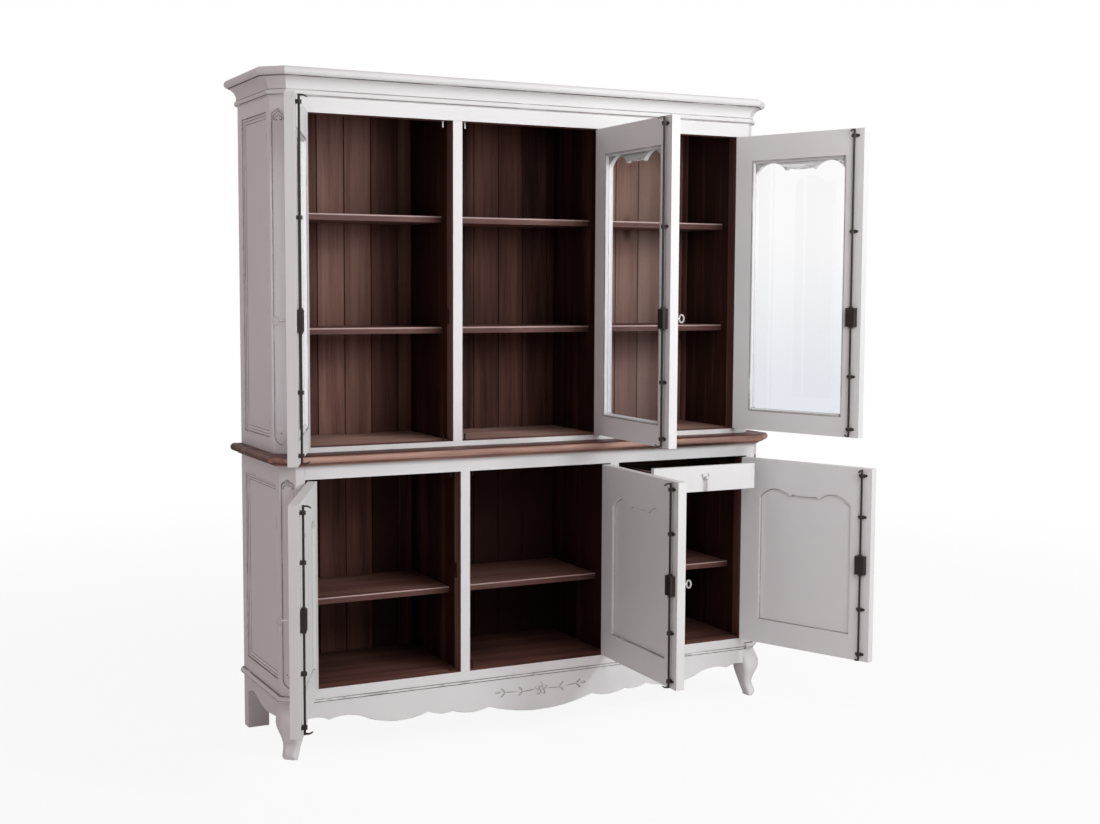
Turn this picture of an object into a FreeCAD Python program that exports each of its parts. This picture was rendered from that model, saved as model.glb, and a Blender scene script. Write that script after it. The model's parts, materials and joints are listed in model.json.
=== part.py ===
import FreeCAD, Part
import math
import os

os.makedirs("parts", exist_ok=True)
V = FreeCAD.Vector

# Whole piece: x across, y to the back, z up from the floor
total_height = 2100
body_width = 1744
base_depth = 450
hutch_setback = 60        # hutch front behind the base front
cant = 40                 # leg of the 45 degree front corners
fit = 0.3                 # clearance round housed boards

# Posts and front frames
post_width = 69
post_depth = 74
rear_post_depth = 46
strip_border = 6          # flat left each side of a corner's sunk strip
strip_depth = 2.5
strip_peak = 14
strip_tip = 34
strip_dot_radius = 2.4
strip_dot_drop = 5        # dot's centre under the strip's shoulder
base_strip_foot = 6       # strip's tip over the door opening's foot
base_strip_head = 2
hutch_strip_foot = 26     # strip's tip over the worktop
hutch_strip_head = 38     # strip's peak under the cornice
mullion_width = 32
frame_depth = 50
base_floor_level = 214    # foot of the lower doors' opening
base_plinth_level = 174   # top of the apron and of the legs
base_top_rail = 43
hutch_sill = 16
hutch_frieze = 47

# Worktop and cornice
worktop_level = 938
worktop_thick = 32
worktop_overhang = 37
cornice_height = 82
cornice_overhang = 44
cornice_ledge = 22        # width of the cornice's seat on the posts

# Boards
board_thick = 18
lining_thick = 12
back_board_thick = 12
back_board_count = 17
housing_depth = 5
shelf_thick = 20
shelf_setback = 112       # shelf front behind the front frame's face
hutch_shelf_shares = [0.357, 0.709]    # shelf tops, as shares of the clear height
base_shelf_shares = [0.3975]

# Side panels
side_thick = 26
side_panel_thick = 14
side_panel_sink = 3
side_panel_tongue = 6
side_field_border = 18
side_field_depth = 6
hutch_side_top_rail = 45
hutch_side_bottom_rail = 46
base_side_top_rail = 61
base_side_bottom_rail = 26
side_rail_foot = 109      # lowest edge of the arched side rail

# Doors
door_gap = 3
door_thick = 28
door_stile = 76
glazed_top_rail = 86
glazed_bottom_rail = 75
panel_top_rail = 95
panel_bottom_rail = 82
rebate_width = 8
rebate_depth = 14
glass_thick = 4
glazing_bead = 9
glazing_bead_lip = 3      # width left on the bead's sloping face
door_panel_thick = 10
door_panel_tongue = 7

# Hinges
hinge_height = 70
hinge_inset = 110
knuckle_radius = 5
pin_radius = 2
pin_clearance = 0.1
leaf_thick = 1.2
leaf_depth = 22

# Rod latches and keys
rod_radius = 3.5
rod_clearance = 0.1
rod_edge_distance = 32    # rod axis to the door's free edge
rod_stand = 9             # rod axis off the door's inner face
guide_width = 15
guide_height = 11
guide_ear_spread = 11.5   # ear's centre to the rod's axis
guide_ear_radius = 4.5
guide_ear_thick = 2.5
guide_bar = 6             # height of the bar between the ears
lock_collar = 5           # collars round the rod at both ends of the lock case
lock_collar_wall = 3
lock_rounding = 3
finger_length = 20
finger_thick = 5
hook_drop = 5             # hook's tip back from the finger's middle line
rod_end = 3               # rod's end to the door's head or foot
lock_width = 36
lock_height = 62
lock_depth = 17
key_radius = 2.6
key_hole_clearance = 0.1
key_reach = 40            # bow's far end off the door's face
key_bow_width = 20
key_bow_height = 28
key_bow_thick = 4
key_bow_rim = 4.5         # width of the metal round the bow's eye
key_collar_wall = 2
key_collar_length = 4
keeper_radius = 2.5
keeper_length = 20
keeper_offset = 13        # keeper pin to the rod's axis, towards the free edge
keeper_gap = 0.6          # pin to the hook when the door is locked
keeper_plate_rim = 3
plate_thick = 1.5         # keeper plates and strike plates
strike_width = 14
strike_height = 48

# Inner drawer of the right lower bay
drawer_side_room = 57     # drawer front's end to the door opening's edge
drawer_height = 86
drawer_headroom = 10
drawer_front_thick = 18
drawer_setback = 90       # drawer front behind the base front when shut
drawer_depth = 330
drawer_wall = 12
drawer_bottom_thick = 6
drawer_side_drop = 14
drawer_clearance = 1
runner_ledge = 16
runner_thick = 18
drawer_out = 224          # travel as photographed

# Photographed opening angles, degrees
rest_angles = {
    "upper_left": 112,
    "upper_centre": 88,
    "upper_right": 110,
    "lower_left": 114,
    "lower_centre": 88,
    "lower_right": 112,
}

half_width = body_width / 2
back_y = base_depth / 2
base_front = -base_depth / 2
hutch_front = base_front + hutch_setback
jamb_x = half_width - post_width
opening_width = (2 * jamb_x - 2 * mullion_width) / 3
mullion_x = opening_width / 2 + mullion_width / 2
inner_back = back_y - back_board_thick
rear_post_y = back_y - rear_post_depth
worktop_bottom = worktop_level - worktop_thick
base_head_level = worktop_bottom - base_top_rail
hutch_floor_level = worktop_level + hutch_sill
cornice_level = total_height - cornice_height
hutch_head_level = cornice_level - hutch_frieze
door_width = opening_width - 2 * door_gap
drawer_width = opening_width - 2 * drawer_side_room
base_door_height = base_head_level - base_floor_level - 2 * door_gap
hutch_door_height = hutch_head_level - hutch_floor_level - 2 * door_gap


def box(x0, x1, y0, y1, z0, z1):
    return Part.makeBox(x1 - x0, y1 - y0, z1 - z0, V(x0, y0, z0))


def line(start, end):
    return Part.LineSegment(start, end).toShape()


def arc(start, middle, end):
    return Part.Arc(start, middle, end).toShape()


def face(edges):
    return Part.Face(Part.Wire(edges))


def plan(points, z0, z1):
    corners = [V(x, y, z0) for x, y in points]
    outline = Part.makePolygon(corners + corners[:1])
    return Part.Face(outline).extrude(V(0, 0, z1 - z0))


def mirrored(shape):
    return shape.mirror(V(0, 0, 0), V(1, 0, 0))


def both_sides(shapes):
    return shapes + [mirrored(shape) for shape in shapes]


def save(name, shapes):
    shape = shapes[0]
    if len(shapes) > 1:
        shape = Part.makeCompound(shapes)
    shape.exportStep("parts/" + name + ".step")


def swept(profile, path):
    pipe = Part.BRepOffsetAPI.MakePipeShell(path)
    pipe.setTransitionMode(1)
    pipe.add(profile, False, False)
    pipe.build()
    pipe.makeSolid()
    return Part.Solid(pipe.shape())


def body_path(front, level):
    corners = [
        V(-half_width, back_y, level),
        V(-half_width, front + cant, level),
        V(-half_width + cant, front, level),
        V(half_width - cant, front, level),
        V(half_width, front + cant, level),
        V(half_width, back_y, level),
    ]
    return Part.makePolygon(corners)


def profile_point(out, level):
    return V(-half_width - out, back_y, level)


# Corner posts: the right hand one is modelled, the left is its mirror image

post_plan = [
    (0, 0),
    (post_width - cant, 0),
    (post_width, cant),
    (post_width, post_depth),
    (0, post_depth),
]


def corner_post(front, z0, z1):
    points = [(jamb_x + x, front + y) for x, y in post_plan]
    return plan(points, z0, z1)


def carved_strip(front, z0, z1):
    half = cant * math.sqrt(2) / 2 - strip_border
    shoulder = z1 - strip_peak
    foot = z0 + strip_tip
    apex = V(0, 0, z1)
    tip = V(0, 0, z0)
    low_left = V(-half, 0, foot)
    low_right = V(half, 0, foot)
    high_left = V(-half, 0, shoulder)
    high_right = V(half, 0, shoulder)
    crown = shoulder + strip_peak * 0.55
    turn = z0 + strip_tip * 0.3
    edges = [
        arc(low_left, V(-half * 0.72, 0, turn), tip),
        arc(tip, V(half * 0.72, 0, turn), low_right),
        line(low_right, high_right),
        arc(high_right, V(half * 0.5, 0, crown), apex),
        arc(apex, V(-half * 0.5, 0, crown), high_left),
        line(high_left, low_left),
    ]
    strip = face(edges).extrude(V(0, 2 * strip_depth, 0))
    dot_centre = V(0, strip_depth, shoulder - strip_dot_drop)
    dot = Part.makeCylinder(strip_dot_radius, strip_depth, dot_centre, V(0, 1, 0))
    strip = strip.cut(dot)
    strip.translate(V(0, -strip_depth, 0))
    strip.rotate(V(0, 0, 0), V(0, 0, 1), 45)
    strip.translate(V(half_width - cant / 2, front + cant / 2, 0))
    return strip


def rounded_section(points, radius, level):
    edges = []
    ends = []
    count = len(points)
    for i in range(count):
        corner = V(points[i][0], points[i][1], level)
        before = V(points[i - 1][0], points[i - 1][1], level)
        after = V(points[(i + 1) % count][0], points[(i + 1) % count][1], level)
        back = (before - corner).normalize()
        ahead = (after - corner).normalize()
        half_angle = back.getAngle(ahead) / 2
        tangent = radius / math.tan(half_angle)
        inward = (back + ahead).normalize()
        middle = corner + inward * (radius / math.sin(half_angle) - radius)
        ends.append((corner + back * tangent, middle, corner + ahead * tangent))
    for i in range(count):
        edges.append(arc(ends[i][0], ends[i][1], ends[i][2]))
        edges.append(line(ends[i][2], ends[(i + 1) % count][0]))
    return Part.Wire(edges)


# Cabriole leg, by height: reach of the inner and outer faces from the post's axis as shares
# of its width and depth, share of its cant, radius of the corners
leg_stations = [
    (1.00, 0.50, 0.50, 1.00, 4),
    (0.93, 0.50, 0.51, 1.00, 7),
    (0.83, 0.51, 0.58, 0.92, 10),
    (0.72, 0.515, 0.65, 0.84, 13),
    (0.60, 0.50, 0.66, 0.85, 14),
    (0.48, 0.44, 0.575, 0.86, 13),
    (0.34, 0.345, 0.44, 0.77, 11),
    (0.22, 0.26, 0.40, 0.70, 10),
    (0.10, 0.17, 0.45, 0.50, 9),
    (0.035, 0.12, 0.475, 0.61, 8),
    (0.00, 0.11, 0.44, 0.55, 6),
]


def leg_section(height, inner, outer, cant_share, radius):
    centre_x = jamb_x + post_width / 2
    centre_y = base_front + post_depth / 2
    left = centre_x - inner * post_width
    right = centre_x + outer * post_width
    front = centre_y - outer * post_depth
    rear = centre_y + inner * post_depth
    cut = cant_share * cant
    points = [(left, front), (right - cut, front), (right, front + cut), (right, rear), (left, rear)]
    return rounded_section(points, radius, height * base_plinth_level)


def cabriole_leg():
    sections = [leg_section(*station) for station in reversed(leg_stations)]
    return Part.makeLoft(sections, True, False)


def base_posts():
    post = corner_post(base_front, base_plinth_level, worktop_bottom)
    foot = base_floor_level + base_strip_foot
    post = post.cut(carved_strip(base_front, foot, base_head_level + base_strip_head))
    post = post.fuse(cabriole_leg())
    return both_sides([post.cut(side_panel_room(base_front, base_panel_levels))])


def hutch_posts():
    post = corner_post(hutch_front, worktop_level, cornice_level)
    foot = worktop_level + hutch_strip_foot
    post = post.cut(carved_strip(hutch_front, foot, cornice_level - hutch_strip_head))
    return both_sides([post.cut(side_panel_room(hutch_front, hutch_panel_levels))])


# Sides: rear post, two rails and a sunk panel housed between them

base_panel_levels = [base_floor_level + base_side_bottom_rail, worktop_bottom - base_side_top_rail]
hutch_panel_levels = [worktop_level + hutch_side_bottom_rail, cornice_level - hutch_side_top_rail]


def side_panel_block(front, levels, grow):
    reach = side_panel_tongue + grow
    outer = half_width - side_panel_sink + grow
    inner = outer - side_panel_thick - 2 * grow
    y0 = front + post_depth - reach
    y1 = rear_post_y + reach
    return box(inner, outer, y0, y1, levels[0] - reach, levels[1] + reach)


def side_panel_room(front, levels):
    return side_panel_block(front, levels, fit)


def rectangle(x, y0, y1, z0, z1):
    corners = [V(x, y0, z0), V(x, y1, z0), V(x, y1, z1), V(x, y0, z1)]
    return Part.makePolygon(corners + corners[:1])


def side_panel(front, levels):
    panel = side_panel_block(front, levels, 0)
    face_x = half_width - side_panel_sink
    field_x = face_x - side_field_depth
    edge = 4
    y0 = front + post_depth
    wide = rectangle(face_x, y0 + edge, rear_post_y - edge, levels[0] + edge, levels[1] - edge)
    rim = edge + side_field_border
    narrow = rectangle(field_x, y0 + rim, rear_post_y - rim, levels[0] + rim, levels[1] - rim)
    return panel.cut(Part.makeLoft([wide, narrow], True, True))


def side_rail(front, z0, z1):
    return box(half_width - side_thick, half_width, front + post_depth, rear_post_y, z0, z1)


def arched_side_rail(z1):
    x = half_width - side_thick
    front_y = base_front + post_depth - 12
    room = rear_post_y - base_front - post_depth
    low = side_rail_foot
    arch_start = V(x, rear_post_y, low + 9)
    arch_top = V(x, rear_post_y - room * 0.115, low + 25)
    arch_end = V(x, rear_post_y - room * 0.31, low + 19)
    turn = V(x, rear_post_y - room * 0.45, low + 6)
    dip = V(x, rear_post_y - room * 0.62, low)
    bow = V(x, rear_post_y - room * 0.83, low + 5)
    knee = V(x, front_y, low + 13)
    edges = [
        line(V(x, front_y, z1), knee),
        arc(knee, bow, dip),
        arc(dip, turn, arch_end),
        arc(arch_end, arch_top, arch_start),
        line(arch_start, V(x, rear_post_y, z1)),
        line(V(x, rear_post_y, z1), V(x, front_y, z1)),
    ]
    return face(edges).extrude(V(side_thick, 0, 0))


def side_frame(front, levels, foot, head, bottom_rail):
    rear = box(jamb_x, half_width, rear_post_y, back_y, foot, head)
    top_rail = side_rail(front, levels[1], head)
    room = side_panel_room(front, levels)
    return [piece.cut(room) for piece in [rear, top_rail, bottom_rail]]


def base_sides(posts):
    rail = arched_side_rail(base_panel_levels[0]).cut(posts[0])
    return both_sides(side_frame(base_front, base_panel_levels, 0, worktop_bottom, rail))


def hutch_sides():
    rail = side_rail(hutch_front, worktop_level, hutch_panel_levels[0])
    return both_sides(side_frame(hutch_front, hutch_panel_levels, worktop_level, cornice_level, rail))


# Front frames

def front_rail(front, z0, z1):
    return box(-jamb_x, jamb_x, front, front + frame_depth, z0, z1)


def mullions(front, z0, z1):
    half = mullion_width / 2
    return both_sides([box(mullion_x - half, mullion_x + half, front, front + frame_depth, z0, z1)])


# Scalloped apron: its lower edge as arcs from the centre outwards, as (x, level) points
apron_thick = 22
apron_arcs = [
    ((190, 87), (252, 77), (318, 90)),
    ((318, 90), (358, 86), (402, 98)),
    ((402, 98), (505, 82), (600, 100)),
    ((600, 100), (668, 121), (733, 114)),
    ((733, 114), (768, 125), (815, 118)),
]
apron_centre_level = 56
carve_depth = 1.5
flower_level = 126
petal_count = 5
petal_length = 19
petal_width = 12
petal_reach = 13.5        # petal's centre to the flower's

# Sprig on either side of the flower, as (reach, lift, length, width, turn) of its leaves and stems
sprig_leaves = [
    (50, -2, 56, 2.4, 3),
    (76, 8.4, 22, 6, -42),
    (76, -8.4, 22, 6, 42),
    (116, 1, 60, 2.4, -4),
    (140, 10.4, 20, 6, -42),
    (140, -6.4, 20, 6, 42),
    (158, 4, 19, 8, 0),
]


def leaf(x, z, length, width, turn):
    start = V(-length / 2, 0, 0)
    end = V(length / 2, 0, 0)
    edges = [arc(start, V(0, 0, width / 2), end), arc(end, V(0, 0, -width / 2), start)]
    groove = face(edges).extrude(V(0, 2 * carve_depth, 0))
    groove.translate(V(0, -carve_depth, 0))
    groove.rotate(V(0, 0, 0), V(0, 1, 0), turn)
    groove.translate(V(x, base_front, z))
    return groove


def flower_sprig(level):
    cuts = []
    for i in range(petal_count):
        turn = 90 + 360 * i / petal_count
        x = petal_reach * math.cos(math.radians(turn))
        z = petal_reach * math.sin(math.radians(turn))
        cuts.append(leaf(x, level + z, petal_length, petal_width, -turn))
    for side in (-1, 1):
        for reach, lift, length, width, turn in sprig_leaves:
            cuts.append(leaf(side * reach, level + lift, length, width, side * turn))
    return cuts


def apron(posts):
    reach = apron_arcs[-1][2][0]
    joined = reach - jamb_x
    y = base_front
    edges = []
    for start, middle, end in apron_arcs:
        for side in (-1, 1):
            points = [V(side * x, y, z) for x, z in (start, middle, end)]
            edges.append(arc(points[0], points[1], points[2]))
    first = apron_arcs[0][0]
    last = apron_arcs[-1][2]
    edges.append(arc(V(-first[0], y, first[1]), V(0, y, apron_centre_level), V(first[0], y, first[1])))
    edges.append(line(V(last[0], y, last[1]), V(last[0], y, base_plinth_level)))
    edges.append(line(V(last[0], y, base_plinth_level), V(-last[0], y, base_plinth_level)))
    edges.append(line(V(-last[0], y, base_plinth_level), V(-last[0], y, last[1])))
    board = face(Part.__sortEdges__(edges)).extrude(V(0, apron_thick, 0))
    board = board.cut(Part.makeCompound(flower_sprig(flower_level)))
    board = board.cut(Part.makeCompound(posts))
    solids = sorted(board.Solids, key=lambda solid: solid.Volume)
    return solids[-1]


# Mouldings

bead_height = 22
bead_reach = 12
front_bead_height = 7
front_bead_reach = 4


def plinth_moulding():
    z0 = base_plinth_level
    outline = [
        line(V(half_width, back_y, z0), V(half_width + 3, back_y, z0)),
        arc(
            V(half_width + 3, back_y, z0),
            V(half_width + bead_reach, back_y, z0 + bead_height / 2),
            V(half_width + 3, back_y, z0 + bead_height),
        ),
        line(V(half_width + 3, back_y, z0 + bead_height), V(half_width, back_y, z0 + bead_height)),
        line(V(half_width, back_y, z0 + bead_height), V(half_width, back_y, z0)),
    ]
    path = Part.makePolygon([
        V(half_width, back_y, z0),
        V(half_width, base_front + cant, z0),
        V(half_width - cant, base_front, z0),
        V(jamb_x + 4, base_front, z0),
    ])
    corner = swept(Part.Wire(outline), path)
    start = V(-jamb_x, base_front, z0)
    end = V(-jamb_x, base_front, z0 + front_bead_height)
    crown = V(-jamb_x, base_front - front_bead_reach, z0 + front_bead_height / 2)
    front = face([arc(start, crown, end), line(end, start)]).extrude(V(2 * jamb_x, 0, 0))
    return both_sides([corner]) + [front]


def worktop():
    z0 = worktop_bottom
    z1 = worktop_level
    inner = -30
    reach = worktop_overhang
    under = V(-half_width - reach + 13, back_y, z0 + 8)
    over = V(-half_width - reach + 12, back_y, z1)
    nose = V(-half_width - reach, back_y, z0 + 19)
    edges = [
        line(profile_point(inner, z0), profile_point(12, z0)),
        arc(profile_point(12, z0), profile_point(15, z0 + 6), under),
        arc(under, nose, over),
        line(over, profile_point(inner, z1)),
        line(profile_point(inner, z1), profile_point(inner, z0)),
    ]
    edge = swept(Part.Wire(edges), body_path(base_front, z0))
    slab = plan([
        (-half_width, back_y),
        (-half_width, base_front + cant),
        (-half_width + cant, base_front),
        (half_width - cant, base_front),
        (half_width, base_front + cant),
        (half_width, back_y),
    ], z0, z1)
    return slab.fuse(edge).removeSplitter()


def cornice():
    z0 = cornice_level
    z1 = total_height
    inner = -cornice_ledge
    fillet = cornice_overhang - 13
    cove_top = z1 - 28
    crown = z1 - 25
    edges = [
        line(profile_point(inner, z0), profile_point(3, z0)),
        arc(profile_point(3, z0), profile_point(11, z0 + 9), profile_point(5, z0 + 18)),
        arc(profile_point(5, z0 + 18), profile_point(11, z0 + 42), profile_point(fillet - 2, cove_top)),
        line(profile_point(fillet - 2, cove_top), profile_point(fillet, cove_top)),
        line(profile_point(fillet, cove_top), profile_point(fillet, crown)),
        line(profile_point(fillet, crown), profile_point(cornice_overhang - 7, crown)),
        arc(
            profile_point(cornice_overhang - 7, crown),
            profile_point(cornice_overhang, crown + 12),
            profile_point(cornice_overhang - 11, z1),
        ),
        line(profile_point(cornice_overhang - 11, z1), profile_point(inner, z1)),
        line(profile_point(inner, z1), profile_point(inner, z0)),
    ]
    return swept(Part.Wire(edges), body_path(hutch_front, z0))


# Boards inside

def shelf_spans():
    half = board_thick / 2
    middle = mullion_x - half
    outer = mullion_x + half
    return [(-jamb_x, -outer), (-middle, middle), (outer, jamb_x)]


def shelf(front, level, span, grow):
    reach = housing_depth + grow
    y0 = front + shelf_setback - grow
    z0 = level - shelf_thick - grow
    return box(span[0] - reach, span[1] + reach, y0, inner_back + grow, z0, level + grow)


def shelves(front, levels, grow):
    boards = [shelf(front, level, span, grow) for level in levels for span in shelf_spans()]
    rear_post = box(jamb_x, half_width, rear_post_y - fit, back_y, 0, total_height)
    notches = Part.makeCompound(both_sides([rear_post]))
    return [board.cut(notches) for board in boards]


def shelf_levels(floor, head, shares):
    return [floor + (head - floor) * share for share in shares]


def partitions(front, foot, head, levels):
    half = board_thick / 2
    y0 = front + frame_depth
    divider = box(mullion_x - half, mullion_x + half, y0, inner_back, foot, head)
    lining = box(jamb_x, jamb_x + lining_thick, front + post_depth, rear_post_y, foot, head)
    room = Part.makeCompound(shelves(front, levels, fit))
    return [piece.cut(room) for piece in both_sides([divider, lining])]


def top_board():
    inset = cornice_ledge + fit
    side = half_width - inset
    corner = cant - inset * (2 - math.sqrt(2))
    front = hutch_front + inset
    return plan([
        (-side, back_y),
        (-side, front + corner),
        (-side + corner, front),
        (side - corner, front),
        (side, front + corner),
        (side, back_y),
    ], cornice_level, cornice_level + board_thick)


def floor_board(front, level, thick):
    return box(-jamb_x, jamb_x, front + frame_depth, inner_back, level - thick, level)


def back_boards(z0, z1):
    pitch = 2 * jamb_x / back_board_count
    thick = back_board_thick
    vee = 2
    tongue = 3
    reach = 5
    low = thick / 2 - tongue / 2
    high = thick / 2 + tongue / 2
    right = pitch - fit
    outline = [
        (0, vee), (vee, 0), (right - vee, 0), (right, vee),
        (right, low), (right + reach, low), (right + reach, high), (right, high),
        (right, thick), (0, thick),
        (0, high + fit), (reach + fit, high + fit), (reach + fit, low - fit), (0, low - fit),
    ]
    boards = []
    for i in range(back_board_count):
        points = [(i * pitch - jamb_x + x, inner_back + y) for x, y in outline]
        boards.append(plan(points, z0, z1))
    beyond = box(jamb_x, jamb_x + pitch, inner_back - 1, back_y + 1, z0, z1)
    boards[-1] = boards[-1].cut(beyond)
    return boards


# Doors: modelled shut and hinged on the left, with x from the hinge edge, y from the face
# and z from the foot

# Scalloped edge below a top rail: how far each point lies under the opening's head
glazed_scallop = {"shoulder": 43, "peak": 9, "cusp": 37, "end": 30, "middle": 34}
panel_scallop = {"shoulder": 36, "peak": 2.5, "cusp": 24, "end": 16, "middle": 19.5}


def valance(x0, x1, top, level, drop, thick):
    width = x1 - x0
    sides = []
    for start, side in ((x0, 1), (x1, -1)):
        low = V(start, 0, level - drop["shoulder"])
        peak = V(start + side * width * 0.17, 0, level - drop["peak"])
        cusp = V(start + side * width * 0.342, 0, level - drop["cusp"])
        end = V(start + side * width * 0.375, 0, level - drop["end"])
        hollow = V(cusp.x * 0.6 + end.x * 0.4, 0, cusp.z * 0.35 + end.z * 0.65)
        sides.append((low, peak, cusp, hollow, end))
    left, right = sides
    edges = [
        line(V(x0, 0, top), left[0]),
        arc(left[0], left[1], left[2]),
        arc(left[2], left[3], left[4]),
        arc(left[4], V((x0 + x1) / 2, 0, level - drop["middle"]), right[4]),
        arc(right[4], right[3], right[2]),
        arc(right[2], right[1], right[0]),
        line(right[0], V(x1, 0, top)),
        line(V(x1, 0, top), V(x0, 0, top)),
    ]
    return face(edges).extrude(V(0, thick, 0))


key_tip = door_thick + rod_stand - rod_radius - 1.5


def key_hole(lock_level):
    radius = key_radius + key_hole_clearance
    x = door_width - rod_edge_distance
    return Part.makeCylinder(radius, key_tip + 1.5, V(x, -1, lock_level), V(0, 1, 0))


def door_members(height, top_rail, bottom_rail, lock_level):
    inner = door_width - door_stile
    hinge_stile = box(0, door_stile, 0, door_thick, 0, height)
    lock_stile = box(inner, door_width, 0, door_thick, 0, height).cut(key_hole(lock_level))
    foot_rail = box(door_stile, inner, 0, door_thick, 0, bottom_rail)
    return [hinge_stile, lock_stile, foot_rail, top_rail]


def glazed_door(height, lock_level):
    inner = door_width - door_stile
    head = height - glazed_top_rail
    front_thick = door_thick - rebate_depth
    lintel = valance(door_stile, inner, height, head, glazed_scallop, front_thick)
    lintel = lintel.fuse(box(door_stile, inner, front_thick, door_thick, head, height)).removeSplitter()
    x0 = door_stile - rebate_width
    x1 = inner + rebate_width
    z0 = glazed_bottom_rail - rebate_width
    rebate = box(x0, x1, front_thick, door_thick + 1, z0, head)
    members = door_members(height, lintel, glazed_bottom_rail, lock_level)
    members = [member.cut(rebate) for member in members]
    back = front_thick + glass_thick
    pane = box(x0 + fit, x1 - fit, front_thick, back, z0 + fit, head - fit)
    for x in (x0, x1):
        side = 1 if x == x0 else -1
        root = x + side * glazing_bead
        lip = x + side * glazing_bead_lip
        section = [(x, back), (root, back), (lip, door_thick), (x, door_thick)]
        members.append(plan(section, z0, head))
    for z in (z0, head):
        side = 1 if z == z0 else -1
        root = z + side * glazing_bead
        lip = z + side * glazing_bead_lip
        x = x0 + glazing_bead
        points = [V(x, back, z), V(x, back, root), V(x, door_thick, lip), V(x, door_thick, z)]
        section = Part.Face(Part.makePolygon(points + points[:1]))
        members.append(section.extrude(V(x1 - glazing_bead - x, 0, 0)))
    return members, pane


def panelled_door(height, lock_level):
    inner = door_width - door_stile
    head = height - panel_top_rail
    lintel = valance(door_stile, inner, height, head, panel_scallop, door_thick)
    y0 = (door_thick - door_panel_thick) / 2
    y1 = y0 + door_panel_thick
    tongue = door_panel_tongue
    panel = box(
        door_stile - tongue, inner + tongue, y0, y1, panel_bottom_rail - tongue, head + tongue,
    )
    grow = tongue + fit
    room = box(
        door_stile - grow, inner + grow, y0 - fit, y1 + fit, panel_bottom_rail - grow, head + grow,
    )
    members = door_members(height, lintel, panel_bottom_rail, lock_level)
    return [member.cut(room) for member in members], panel


def guide(level):
    x = door_width - rod_edge_distance
    y = door_thick + rod_stand
    half = guide_width / 2
    z0 = level - guide_height / 2
    foot = box(x - half, x + half, door_thick, y, z0, z0 + guide_height)
    pieces = [Part.makeCylinder(half, guide_height, V(x, y, z0))]
    spread = guide_ear_spread
    ear_y = door_thick + guide_ear_thick
    bar_foot = level - guide_bar / 2
    pieces.append(box(x - spread, x + spread, door_thick, ear_y, bar_foot, bar_foot + guide_bar))
    for ear_x in (x - spread, x + spread):
        seat = V(ear_x, door_thick, level)
        pieces.append(Part.makeCylinder(guide_ear_radius, guide_ear_thick, seat, V(0, 1, 0)))
    bore = Part.makeCylinder(rod_radius + rod_clearance, guide_height + 2, V(x, y, z0 - 1))
    return foot.multiFuse(pieces).removeSplitter().cut(bore)


def lock_case(level):
    x = door_width - rod_edge_distance
    y = door_thick + rod_stand
    half = lock_width / 2
    z0 = level - lock_height / 2
    case = box(x - half, x + half, door_thick, door_thick + lock_depth, z0, z0 + lock_height)
    corners = [edge for edge in case.Edges if edge.CenterOfMass.y > door_thick + lock_depth - 0.01]
    case = case.makeFillet(lock_rounding, corners)
    start = z0 - lock_collar
    length = lock_height + 2 * lock_collar
    collars = Part.makeCylinder(rod_radius + lock_collar_wall, length, V(x, y, start))
    bore = Part.makeCylinder(rod_radius + rod_clearance, length + 2, V(x, y, start - 1))
    return case.fuse(collars).cut(bore).cut(key_hole(level))


def finger(level, up):
    x = door_width - rod_edge_distance - finger_thick / 2
    y = door_thick + rod_stand
    tip = y + finger_length
    half = finger_thick / 2
    root_low = V(x, y, level - up * half)
    root_high = V(x, y, level + up * half)
    tip_low = V(x, tip, level - up * hook_drop)
    tip_high = V(x, tip + 3, level - up * (hook_drop - 1))
    bend = y + finger_length * 0.6
    edges = [
        line(root_low, root_high),
        arc(root_high, V(x, bend, level + up * (half + 1)), tip_high),
        line(tip_high, tip_low),
        arc(tip_low, V(x, bend, level - up), root_low),
    ]
    return face(edges).extrude(V(finger_thick, 0, 0))


def latch_rod(height):
    x = door_width - rod_edge_distance
    y = door_thick + rod_stand
    rod = Part.makeCylinder(rod_radius, height - 2 * rod_end, V(x, y, rod_end))
    reach = rod_end + finger_thick / 2 + 2
    return rod.multiFuse([finger(reach, -1), finger(height - reach, 1)]).removeSplitter()


def oval(length, width):
    edge = Part.Ellipse(V(0, 0, -key_bow_thick / 2), length / 2, width / 2).toShape()
    return Part.Face(Part.Wire(edge)).extrude(V(0, 0, key_bow_thick))


def key(level):
    x = door_width - rod_edge_distance
    bow_y = -key_reach + key_bow_width / 2
    shaft_start = bow_y + key_bow_width / 2 - 2
    shaft = Part.makeCylinder(key_radius, key_tip - shaft_start, V(x, shaft_start, level), V(0, 1, 0))
    collar_seat = V(x, shaft_start + 6, level)
    collar = Part.makeCylinder(key_radius + key_collar_wall, key_collar_length, collar_seat, V(0, 1, 0))
    eye = oval(key_bow_height - 2 * key_bow_rim, key_bow_width - 2 * key_bow_rim)
    bow = oval(key_bow_height, key_bow_width).cut(eye)
    bow.rotate(V(0, 0, 0), V(0, 1, 0), 90)
    bow.translate(V(x, bow_y, level))
    return shaft.multiFuse([collar, bow])


def hinge_knuckle(z0, z1):
    return Part.makeCylinder(knuckle_radius, z1 - z0, V(-door_gap / 2, -knuckle_radius, z0))


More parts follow.
